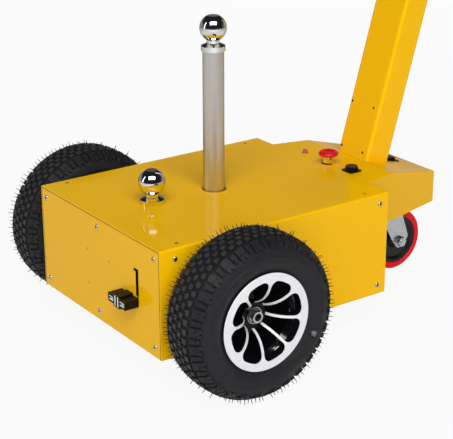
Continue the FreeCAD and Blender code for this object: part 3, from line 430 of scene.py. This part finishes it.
def vertex(bm, place, x, y, z):
    """Vertex at a place's own x, y and z in millimetres."""
    return bm.verts.new(place @ Vector((x * MM, y * MM, z * MM)))


def ring_of(bm, place, radius, height, segments, corners=0):
    """Ring of vertices on a circle or, with corners, on a regular polygon of that many corners."""
    ring = []
    for i in range(segments):
        angle = 2 * math.pi * i / segments
        reach = radius
        if corners:
            sector = 2 * math.pi / corners
            reach = radius * math.cos(sector / 2) / math.cos(angle % sector - sector / 2)
        ring.append(vertex(bm, place, reach * math.cos(angle), reach * math.sin(angle), height))
    return ring


def bridge(bm, lower, upper, material=0):
    """Band of faces between two rings."""
    count = len(lower)
    for i in range(count):
        j = (i + 1) % count
        bm.faces.new((lower[i], lower[j], upper[j], upper[i])).material_index = material


def capped(bm, rings, materials):
    """Closed form from rings: a material for each band between two, and the last one for the top."""
    for lower, upper, material in zip(rings, rings[1:], materials):
        bridge(bm, lower, upper, material)
    bm.faces.new(rings[0]).material_index = materials[0]
    bm.faces.new(rings[-1]).material_index = materials[-1]


def looped(bm, rings):
    """Hoop from rings, the last joined to the first."""
    for lower, upper in zip(rings, rings[1:] + rings[:1]):
        bridge(bm, lower, upper)


def lathe(bm, place, profile, segments=24, materials=None):
    """Closed turned form from (radius, height) or (radius, height, corners), foot first."""
    rings = [ring_of(bm, place, radius, height, segments, *corners) for radius, height, *corners in profile]
    capped(bm, rings, materials or [0] * len(rings))


def hoop(bm, place, section, segments):
    """Turned hoop over a closed section of (radius, height)."""
    looped(bm, [ring_of(bm, place, radius, height, segments) for radius, height in section])


def swelled(outline, swell):
    """An outline whose points move away from its middle by a distance."""
    middle = sum((Vector(p) for p in outline), Vector((0, 0))) / len(outline)
    moved = []
    for p in outline:
        away = Vector(p) - middle
        moved.append(middle + away * (1 + swell / away.length))
    return moved


def slab(bm, place, outline, low, high, bevel, material=0):
    """Plate over an outline with a chamfered upper edge."""
    rings = []
    for height, swell in ((low, 0), (high - bevel, 0), (high, -bevel)):
        rings.append([vertex(bm, place, p.x, p.y, height) for p in swelled(outline, swell)])
    capped(bm, rings, [material] * 3)


def rectangle(left, low, right, high):
    return [(left, low), (right, low), (right, high), (left, high)]


def rounded_rectangle(width, height, radius, steps=4, middle=(0, 0)):
    points = []
    for cx, cy, start in ((1, 1, 0), (-1, 1, 90), (-1, -1, 180), (1, -1, 270)):
        for i in range(steps + 1):
            angle = math.radians(start + 90 * i / steps)
            x = cx * (width / 2 - radius) + radius * math.cos(angle)
            y = cy * (height / 2 - radius) + radius * math.sin(angle)
            points.append((x + middle[0], y + middle[1]))
    return points


# ---- tyres ----
def sidewall_circle():
    """Centre and radius of the arc through the sidewall's three points."""
    (x1, y1), (x2, y2), (x3, y3) = SHOULDER, BULGE, CHAFER
    d = 2 * (x1 * (y2 - y3) + x2 * (y3 - y1) + x3 * (y1 - y2))
    s1, s2, s3 = x1 ** 2 + y1 ** 2, x2 ** 2 + y2 ** 2, x3 ** 2 + y3 ** 2
    cx = (s1 * (y2 - y3) + s2 * (y3 - y1) + s3 * (y1 - y2)) / d
    cy = (s1 * (x3 - x2) + s2 * (x1 - x3) + s3 * (x2 - x1)) / d
    return cx, cy, math.hypot(x1 - cx, y1 - cy)


def on_sidewall(radius, raised=0.0):
    """Point of the sidewall at a radius."""
    cx, cy, r = sidewall_circle()
    return radius, cy + math.sqrt(r ** 2 - (radius - cx) ** 2) + raised


def half_section():
    """Half of the tyre's outer section, from the crown's middle to the bead."""
    points = CROWN + [SHOULDER]
    points += [on_sidewall(radius) for radius in SIDEWALL_RADII]
    points += [on_sidewall(RAISED_RING_R + beyond, raised) for beyond, raised in RAISED_RING]
    points += [on_sidewall(radius) for radius in LOWER_SIDEWALL_RADII]
    return points + BEAD


HALF_SECTION = half_section()


def along_section(t):
    """Radius, distance out and normal at a distance along the section from the crown's middle."""
    side = 1 if t >= 0 else -1
    left = abs(t)
    for (r0, o0), (r1, o1) in zip(HALF_SECTION, HALF_SECTION[1:]):
        step = math.hypot(r1 - r0, o1 - o0)
        if left <= step:
            break
        left -= step
    share = left / step
    radius, out = r0 + (r1 - r0) * share, o0 + (o1 - o0) * share
    return radius, side * out, (o1 - o0) / step, side * (r0 - r1) / step


def on_tyre(angle, s, t, height):
    """Point in metres of a tyre centred on the origin: s round it from an angle, t across its section."""
    radius, out, normal_r, normal_out = along_section(t)
    turned = angle + s / radius
    reach = (radius + height * normal_r) * MM
    return Vector((reach * math.cos(turned), (out + height * normal_out) * MM, reach * math.sin(turned)))


def tread_block(bm, angle, outline, face=0):
    """Raise a block over an outline in (s, t), a little wider at its foot, with a chamfered top."""
    rings = []
    for height, swell in BLOCK_LEVELS:
        rings.append([bm.verts.new(on_tyre(angle, s, t, height)) for s, t in swelled(outline, swell)])
    capped(bm, rings, [0, 0, face])


def flipped(outline):
    """The same outline on the tyre's other half."""
    return [(s, -t) for s, t in outline]


def build_tyre():
    """Carcass, shoulder lugs in pairs of a long and a short one, and four staggered rows of knobs."""
    bm = bmesh.new()
    section = [(radius, -out) for radius, out in reversed(HALF_SECTION)] + HALF_SECTION[1:]
    hoop(bm, ON_AXLE, section, TYRE_SEGMENTS)
    for i in range(2 * LUG_PAIRS):
        angle = i * LUG_STEP
        near, far = (LONG_LUG, SHORT_LUG) if i % 2 else (SHORT_LUG, LONG_LUG)
        tread_block(bm, angle, near)
        tread_block(bm, angle, flipped(far))
        tread_block(bm, angle + LUG_STEP / 4, INNER_KNOB, 1)
        tread_block(bm, angle - LUG_STEP / 4, flipped(INNER_KNOB), 1)
        tread_block(bm, angle + LUG_STEP * 3 / 4, OUTER_KNOB, 1)
        tread_block(bm, angle + LUG_STEP / 4, flipped(OUTER_KNOB), 1)
    return bm


def whisker(bm, root, direction, length, bend):
    """Thin tapering hair of rubber left by a vent of the mould."""
    side = direction.orthogonal().normalized()
    across = direction.cross(side)
    rings = []
    for share, radius in WHISKER_TAPER:
        middle = root + (direction * share + bend * share ** 2) * length * MM
        ring = []
        for k in range(4):
            angle = k * math.pi / 2
            spoke = side * math.cos(angle) + across * math.sin(angle)
            ring.append(bm.verts.new(middle + spoke * radius * MM))
        rings.append(ring)
    capped(bm, rings, [0, 0, 0])


def build_whiskers(seed):
    """Whiskers on the shoulder lugs of both sides and on the inner knobs, none against the ground."""
    chance = random.Random(seed)
    bm = bmesh.new()
    spots = []
    for i in range(2 * LUG_PAIRS):
        angle = i * LUG_STEP
        odd = 1 if i % 2 else -1
        for side in (-1, 1):
            for s in LUG_WHISKER_S:
                spots.append((angle, s, side * (LUG_WHISKER_T + chance.uniform(*LUG_WHISKER_SPREAD))))
        across = odd * (KNOB_WHISKER_T + chance.uniform(*KNOB_WHISKER_SPREAD))
        spots.append((angle + odd * LUG_STEP / 4, 0, across))
    for angle, s, t in spots:
        root = on_tyre(angle, s, t, LUG_H - WHISKER_ROOT_IN)
        direction = (on_tyre(angle, s, t, LUG_H + 1) - root).normalized()
        bend = Vector([chance.uniform(-WHISKER_BEND, WHISKER_BEND) for _ in range(3)])
        length = WHISKER_L * chance.uniform(WHISKER_SHORTEST, 1.0)
        tip = root + (direction + bend) * length * MM
        if tip.z > WHISKER_FLOOR * MM - AXLE.z:
            whisker(bm, root, direction, length, bend)
    return bm


# ---- wheels ----
def build_steps():
    """Steps turned inside the rim's barrel."""
    bm = bmesh.new()
    for start in STEPS_OUT:
        hoop(bm, ON_AXLE, [(radius, start + out) for radius, out in STEP_SECTION], 96)
    return bm


def build_hub_shade():
    """Painted shade: a dark cap in the hub nut's socket, and a painted shadow ring over its washer."""
    bm = bmesh.new()
    lathe(bm, ON_AXLE, NUT_SOCKET_SHADE, 32)
    hoop(bm, ON_AXLE, WASHER_SHADOW, 48)
    return bm


def build_valve():
    """Tyre valve that leans out of the sidewall, with its cap, whose side and tip are grey as a painted
    highlight.
    """
    bm = bmesh.new()
    radial = Vector((math.cos(VALVE_ANGLE), 0, math.sin(VALVE_ANGLE)))
    outward = Vector((0, 1, 0))
    root = (radial * VALVE_R + outward * VALVE_OUT) * MM
    lathe(bm, facing(root, radial + outward), VALVE_STEM + VALVE_CAP + VALVE_TIP, materials=VALVE_MATERIALS)
    return bm


def dress_wheel(side, turn, seed):
    """What the scene adds to one wheel, built for the left side and turned about the upright axis."""
    body = "wheel_" + side
    at_axle = Matrix.Translation(Vector(joints[body + "_spin"]["pos_m"])) @ Matrix.Rotation(turn, 4, "Z")
    rubber = finishes["tyre_rubber"]

    def fit(name, bm, materials, sharp=SHARP):
        bm.transform(at_axle)
        return make_piece(name, bm, materials, body, sharp)

    tyre = fit("tyre_" + side + "_tread", build_tyre(), [rubber, tread_faces], TREAD_SHARP)
    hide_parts("tyre_" + side)
    fit("tyre_" + side + "_whiskers", build_whiskers(seed), [rubber])
    fit("rim_" + side + "_grooves", build_steps(), [step_black])
    # painted shade in the hub nut's socket and a painted shadow round its washer
    fit("hub_" + side + "_recess", build_hub_shade(), [painted_hole_shade])
    # the cap's grey side and tip are a painted highlight
    fit("valve_" + side, build_valve(), [rubber, cap_painted_highlight])


# ---- fasteners ----
def screws(name, profile, places, head):
    """One piece of like screws, their sockets in painted shade."""
    bm = bmesh.new()
    # the socket's wall and floor take the painted shade
    materials = [0] * (len(profile) - 2) + [1, 1]
    for place in places:
        lathe(bm, place, profile, materials=materials)
    make_piece(name, bm, [head, painted_hole_shade], "chassis")


def fit_panel_screws():
    """Screws of the end panels, from the ends and from the sides; the tail takes the place of one."""
    places = []
    for down in SCREW_ROWS:
        z = TOP - down * MM
        for left in SCREW_COLUMNS:
            places.append(facing((FRONT, left * MM, z), FORWARD))
            if left != 0 or down != SCREW_ROWS[0]:
                places.append(facing((REAR, left * MM, z), -FORWARD))
        for x in SIDE_SCREW_X:
            for side in (-1, 1):
                places.append(facing((x, side * HALF_W, z), (0, side, 0)))
    screws("panel_screws", BUTTON_SCREW, places, finishes["zinc_steel"])


def fit_top_screws():
    places = []
    for x in TOP_SCREW_X:
        for side in (-1, 1):
            places.append(facing((x, side * TOP_SCREW_OUT * MM, TOP), UP, FORWARD))
    screws("top_plate_screws", FLUSH_SCREW, places, finishes["zinc_steel"])


def fit_mast_screws():
    places = []
    for up in MAST_SCREW_UP:
        for left in MAST_SCREW_LEFT:
            places.append(facing(MAST_FOOT + MAST_UP * up * MM + Vector((0, left * MM, 0)), MAST_OUT))
    screws("mast_screws", MAST_SCREW, places, finishes["black_paint"])


def fit_caster_bolts():
    plate_low, plate_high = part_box("caster_plate")
    end, side_in = CASTER_BOLT_FROM_END * MM, CASTER_BOLT_FROM_SIDE * MM
    under = plate_high.z - CASTER_PLATE_T * MM
    bm = bmesh.new()
    for x in (plate_low.x + end, plate_high.x - end):
        for side in (-1, 1):
            lathe(bm, facing((x, side * (plate_high.y - side_in), under), -UP, FORWARD), HEX_BOLT)
    make_piece("caster_plate_bolts", bm, [finishes["zinc_steel"]], "chassis")


# ---- front panel ----
def fit_connector():
    """White keys and contacts on the charging connector's face."""
    low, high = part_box("charge_connector")
    face = facing((high.x, (low.y + high.y) / 2, (low.z + high.z) / 2), FORWARD)
    bm = bmesh.new()
    for left in KEY_BAR_LEFT:
        slab(bm, face, rounded_rectangle(*KEY_BAR, middle=(left, 0)), *KEY_BAR_LEVELS)
    make_piece("connector_keys", bm, [bare_white], "chassis")
    bm = bmesh.new()
    for left in CONTACT_LEFT:
        for up in CONTACT_UP:
            outline = rounded_rectangle(*CONTACT, steps=2, middle=(left, up))
            slab(bm, face, outline, *CONTACT_LEVELS)
    make_piece("connector_contacts", bm, [bare_white], "chassis")


def slot_outline(grow):
    """The hooked slot's outline down to the connector, left side first, grown to the sides and upwards."""
    left, right = SLOT_LEFT + SLOT_W / 2 + grow, SLOT_LEFT - SLOT_W / 2 - grow
    hook, shoulder = right - SLOT_HOOK, -SLOT_W / 2 - grow
    foot = (CONNECTOR_TOP - TOP) / MM + SLOT_TOP_DOWN
    return [(left, grow), (hook, grow), (hook, shoulder), (right, shoulder), (right, foot), (left, foot)]


def paint_slot_shade():
    """Painted shade: a dark plug behind the slot above the connector, and a dark raised band round it that
    widens the shade.
    """
    face = facing((FRONT, 0, TOP - SLOT_TOP_DOWN * MM), FORWARD)
    bm = bmesh.new()
    slab(bm, face, slot_outline(0), *SLOT_SHADE_LEVELS)
    rings = []
    for grow, height in ((SLOT_SHADE_RIM, 0), (SLOT_SHADE_RIM, SLOT_SHADE_RIM_OUT), (0, SLOT_SHADE_RIM_OUT), (0, SLOT_SHADE_RIM_IN)):
        rings.append([vertex(bm, face, x, y, height) for x, y in slot_outline(grow)])
    looped(bm, rings)
    make_piece("slot_painted_shade", bm, [painted_hole_shade], "chassis")


def shade_seam():
    """Painted shade of the seam between the front panel and the shell, up both sides and along the top."""
    face = facing((FRONT, 0, TOP), FORWARD)
    side, half = HALF_W / MM - SEAM_IN, SEAM_W / 2
    foot = (shell_low.z - TOP) / MM
    bm = bmesh.new()
    for left in (-side, side):
        slab(bm, face, rectangle(left - half, foot, left + half, -SEAM_IN), *SEAM_LEVELS)
    slab(bm, face, rectangle(-side, -SEAM_IN - half, side, -SEAM_IN + half), *SEAM_LEVELS)
    make_piece("front_seam", bm, [seam_shade], "chassis")


# ---- controls ----
def fit_gauge():
    """The battery gauge's window and its row of bars, the first one amber."""
    low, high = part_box("battery_gauge")
    face = facing((low + high) / 2 + CONTROL_OUT * GAUGE_OUT * MM, CONTROL_OUT)
    bm = bmesh.new()
    slab(bm, face, rounded_rectangle(*GAUGE_WINDOW), *GAUGE_WINDOW_LEVELS)
    for i in range(GAUGE_BARS):
        left = (i - (GAUGE_BARS - 1) / 2) * GAUGE_BAR_PITCH
        outline = rounded_rectangle(*GAUGE_BAR, steps=2, middle=(left, 0))
        slab(bm, face, outline, *GAUGE_BAR_LEVELS, 2 if i < 1 else 1)
    colours = [finishes["black_paint"], gauge_green, gauge_amber]
    make_piece("gauge_window", bm, colours, "chassis")


def fit_key():
    """Key in its switch: a blade, and a bow across it."""
    low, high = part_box("key_switch")
    face = facing((low + high) / 2 + CONTROL_OUT * KEY_OUT * MM, CONTROL_OUT)
    bow = facing(face @ Vector((0, 0, KEY_BOW_OUT * MM)), face.to_3x3().col[0])
    bm = bmesh.new()
    slab(bm, face, rounded_rectangle(*KEY_BLADE, steps=2), *KEY_BLADE_LEVELS)
    slab(bm, bow, rounded_rectangle(*KEY_BOW), *KEY_BOW_LEVELS, 1)
    make_piece("switch_key", bm, [finishes["zinc_steel"], finishes["black_plastic"]], "chassis")


def fit_knob():
    low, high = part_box("direction_switch")
    bm = bmesh.new()
    lathe(bm, facing((low + high) / 2, CONTROL_OUT), SWITCH_KNOB)
    make_piece("switch_knob", bm, [finishes["black_plastic"]], "chassis")


def fit_lamp_lens():
    low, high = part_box("indicator_lamp")
    bm = bmesh.new()
    lathe(bm, facing(((low.x + high.x) / 2, (low.y + high.y) / 2, low.z), UP, FORWARD), LAMP_LENS)
    make_piece("lamp_lens", bm, [lens_red], "chassis")


def fit_grips():
    """Both grips with their flanges and moulded rings, in place of the plain sleeves."""
    low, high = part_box("handlebar")
    profile = list(GRIP_FLANGE)
    for i in range(GRIP_RINGS):
        start = GRIP_RING_START + i * GRIP_RING_PITCH
        profile += [(radius, start + along) for radius, along in GRIP_RING]
    profile += GRIP_END
    back, out = BAR_R * MM * math.cos(SWEEP_ANGLE), BAR_R * MM * math.sin(SWEEP_ANGLE)
    bm = bmesh.new()
    for side in (1, -1):
        end = Vector((low.x + back, side * (high.y - out), (low.z + high.z) / 2))
        along = Vector((-math.sin(SWEEP_ANGLE), side * math.cos(SWEEP_ANGLE), 0))
        lathe(bm, facing(end - along * GRIP_ROOT * MM, along), profile, 48)
    grips = make_piece("ringed_grips", bm, [finishes["grip_rubber"]], "chassis")
    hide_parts("handlebar_grips")


# ---- camera ----
def place_camera():
    camera = bpy.data.objects.new("photo_camera", bpy.data.cameras.new("photo_camera"))
    bpy.context.scene.collection.objects.link(camera)
    camera.location = Vector((FRONT, 0, TOP)) + CAMERA_FROM_FRONT_TOP
    camera.rotation_mode = "QUATERNION"
    camera.rotation_quaternion = CAMERA_LOOK.to_track_quat("-Z", "Y") @ Quaternion(UP, CAMERA_ROLL)
    camera.data.sensor_width = CAMERA_SENSOR
    camera.data.lens = CAMERA_LENS
    bpy.context.scene.camera = camera


# ---- studio ----
def make_floor_paper():
    """Pale matt paper that looks white to the camera and, near the object, glows in what mirrors it, a
    painted pool of light that fades out further away.
    """
    paper = finish("floor_paper", (0.58, 0.58, 0.58), 0.85, specular=0.1, spread=0.01, patch=0.7, grain=300.0)
    nodes, links = paper.node_tree.nodes, paper.node_tree.links
    path = nodes.new("ShaderNodeLightPath").outputs
    distance = nodes.new("ShaderNodeVectorMath")
    distance.operation = "LENGTH"
    links.new(nodes.new("ShaderNodeTexCoord").outputs["Object"], distance.inputs[0])
    # painted pool of light: polished surfaces see the floor glow near the object, fading with distance
    near = remap(nodes, links, distance.outputs["Value"], MIRRORED_GLOW, 0.0, *MIRRORED_FADE)
    mirrored = arithmetic(nodes, links, "MAXIMUM", path["Is Glossy Ray"], path["Is Transmission Ray"])
    mirrored = arithmetic(nodes, links, "MULTIPLY", mirrored, near)
    seen = arithmetic(nodes, links, "MAXIMUM", path["Is Camera Ray"], mirrored)
    glow = nodes.new("ShaderNodeEmission")
    glow.inputs["Strength"].default_value = 1.0
    blend = nodes.new("ShaderNodeMixShader")
    links.new(arithmetic(nodes, links, "MULTIPLY", seen, FLOOR_GLOW), blend.inputs["Fac"])
    links.new(nodes["Principled BSDF"].outputs["BSDF"], blend.inputs[1])
    links.new(glow.outputs["Emission"], blend.inputs[2])
    links.new(blend.outputs["Shader"], nodes["Material Output"].inputs["Surface"])
    return paper


def lay_floor():
    mesh = bpy.data.meshes.new("floor")
    bm = bmesh.new()
    ring_of(bm, Matrix.Identity(4), FLOOR_R / MM, 0, 64)
    bm.faces.new(bm.verts)
    bm.to_mesh(mesh)
    bm.free()
    floor = bpy.data.objects.new("floor", mesh)
    bpy.context.scene.collection.objects.link(floor)
    floor.data.materials.append(make_floor_paper())


def make_world():
    """Pale backdrop on the side that the photograph looks towards, low down, and dark elsewhere.

    The camera itself sees an even pale tone all round.
    """
    world = bpy.data.worlds.new("studio")
    world.use_nodes = True
    bpy.context.scene.world = world
    nodes, links = world.node_tree.nodes, world.node_tree.links
    direction = nodes.new("ShaderNodeTexCoord").outputs["Generated"]
    split = nodes.new("ShaderNodeSeparateXYZ")
    links.new(direction, split.inputs["Vector"])
    low_down = remap(nodes, links, split.outputs["Z"], 1.0, 0.0, *BACKDROP_HEIGHT)
    facing_it = nodes.new("ShaderNodeVectorMath")
    facing_it.operation = "DOT_PRODUCT"
    facing_it.inputs[1].default_value = BACKDROP_SIDE
    links.new(direction, facing_it.inputs[0])
    on_its_side = remap(nodes, links, facing_it.outputs["Value"], 0.0, 1.0, *BACKDROP_SPREAD)
    pale = arithmetic(nodes, links, "MULTIPLY", low_down, on_its_side)
    lit = mixed(nodes, links, pale, BACKDROP_DARK, BACKDROP_PALE)
    camera_ray = nodes.new("ShaderNodeLightPath").outputs["Is Camera Ray"]
    links.new(mixed(nodes, links, camera_ray, lit, BACKDROP_SEEN), nodes["Background"].inputs["Color"])
    nodes["Background"].inputs["Strength"].default_value = 1.0


def softbox(name, direction, distance, width, height, power, mirrored=True):
    """Area lamp that looks at the body's middle from a direction, all in metres and watts."""
    lamp = bpy.data.objects.new(name, bpy.data.lights.new(name, "AREA"))
    bpy.context.scene.collection.objects.link(lamp)
    lamp.data.shape = "RECTANGLE"
    lamp.data.size = width
    lamp.data.size_y = height
    lamp.data.energy = power
    toward = Vector(direction).normalized()
    lamp.location = LIT_POINT + toward * distance
    lamp.rotation_mode = "QUATERNION"
    lamp.rotation_quaternion = (-toward).to_track_quat("-Z", "Y")
    lamp.visible_glossy = mirrored
    lamp.visible_camera = False


# ---- the scene ----
for part in frame["record"]["subparts"]:
    node = frame["nodes"][part["node"]]
    for material_slot in node.material_slots:
        material_slot.material = finishes[part["material_slot"]]

bpy.context.scene.view_settings.view_transform = "Standard"
place_camera()
dress_wheel("left", 0, 3)
dress_wheel("right", math.pi, 7)
fit_panel_screws()
fit_top_screws()
fit_mast_screws()
fit_caster_bolts()
fit_connector()
paint_slot_shade()
shade_seam()
fit_gauge()
fit_key()
fit_knob()
fit_lamp_lens()
fit_grips()
lay_floor()
make_world()
softbox("key_softbox", (0.32, 0.54, 0.78), distance=14.0, width=13.3, height=6.6, power=1780)
softbox("side_strip", (0.85, -0.36, 0.36), distance=4.0, width=0.43, height=2.9, power=14)
softbox("low_fill", (0.42, 0.90, 0.20), distance=3.4, width=3.4, height=1.1, power=55, mirrored=False)
softbox("front_fill", (0.96, 0.25, 0.13), distance=3.4, width=2.7, height=0.9, power=15, mirrored=False)
softbox("back_fill", (-0.58, -0.62, 0.26), distance=5.0, width=5.0, height=2.0, power=110, mirrored=False)
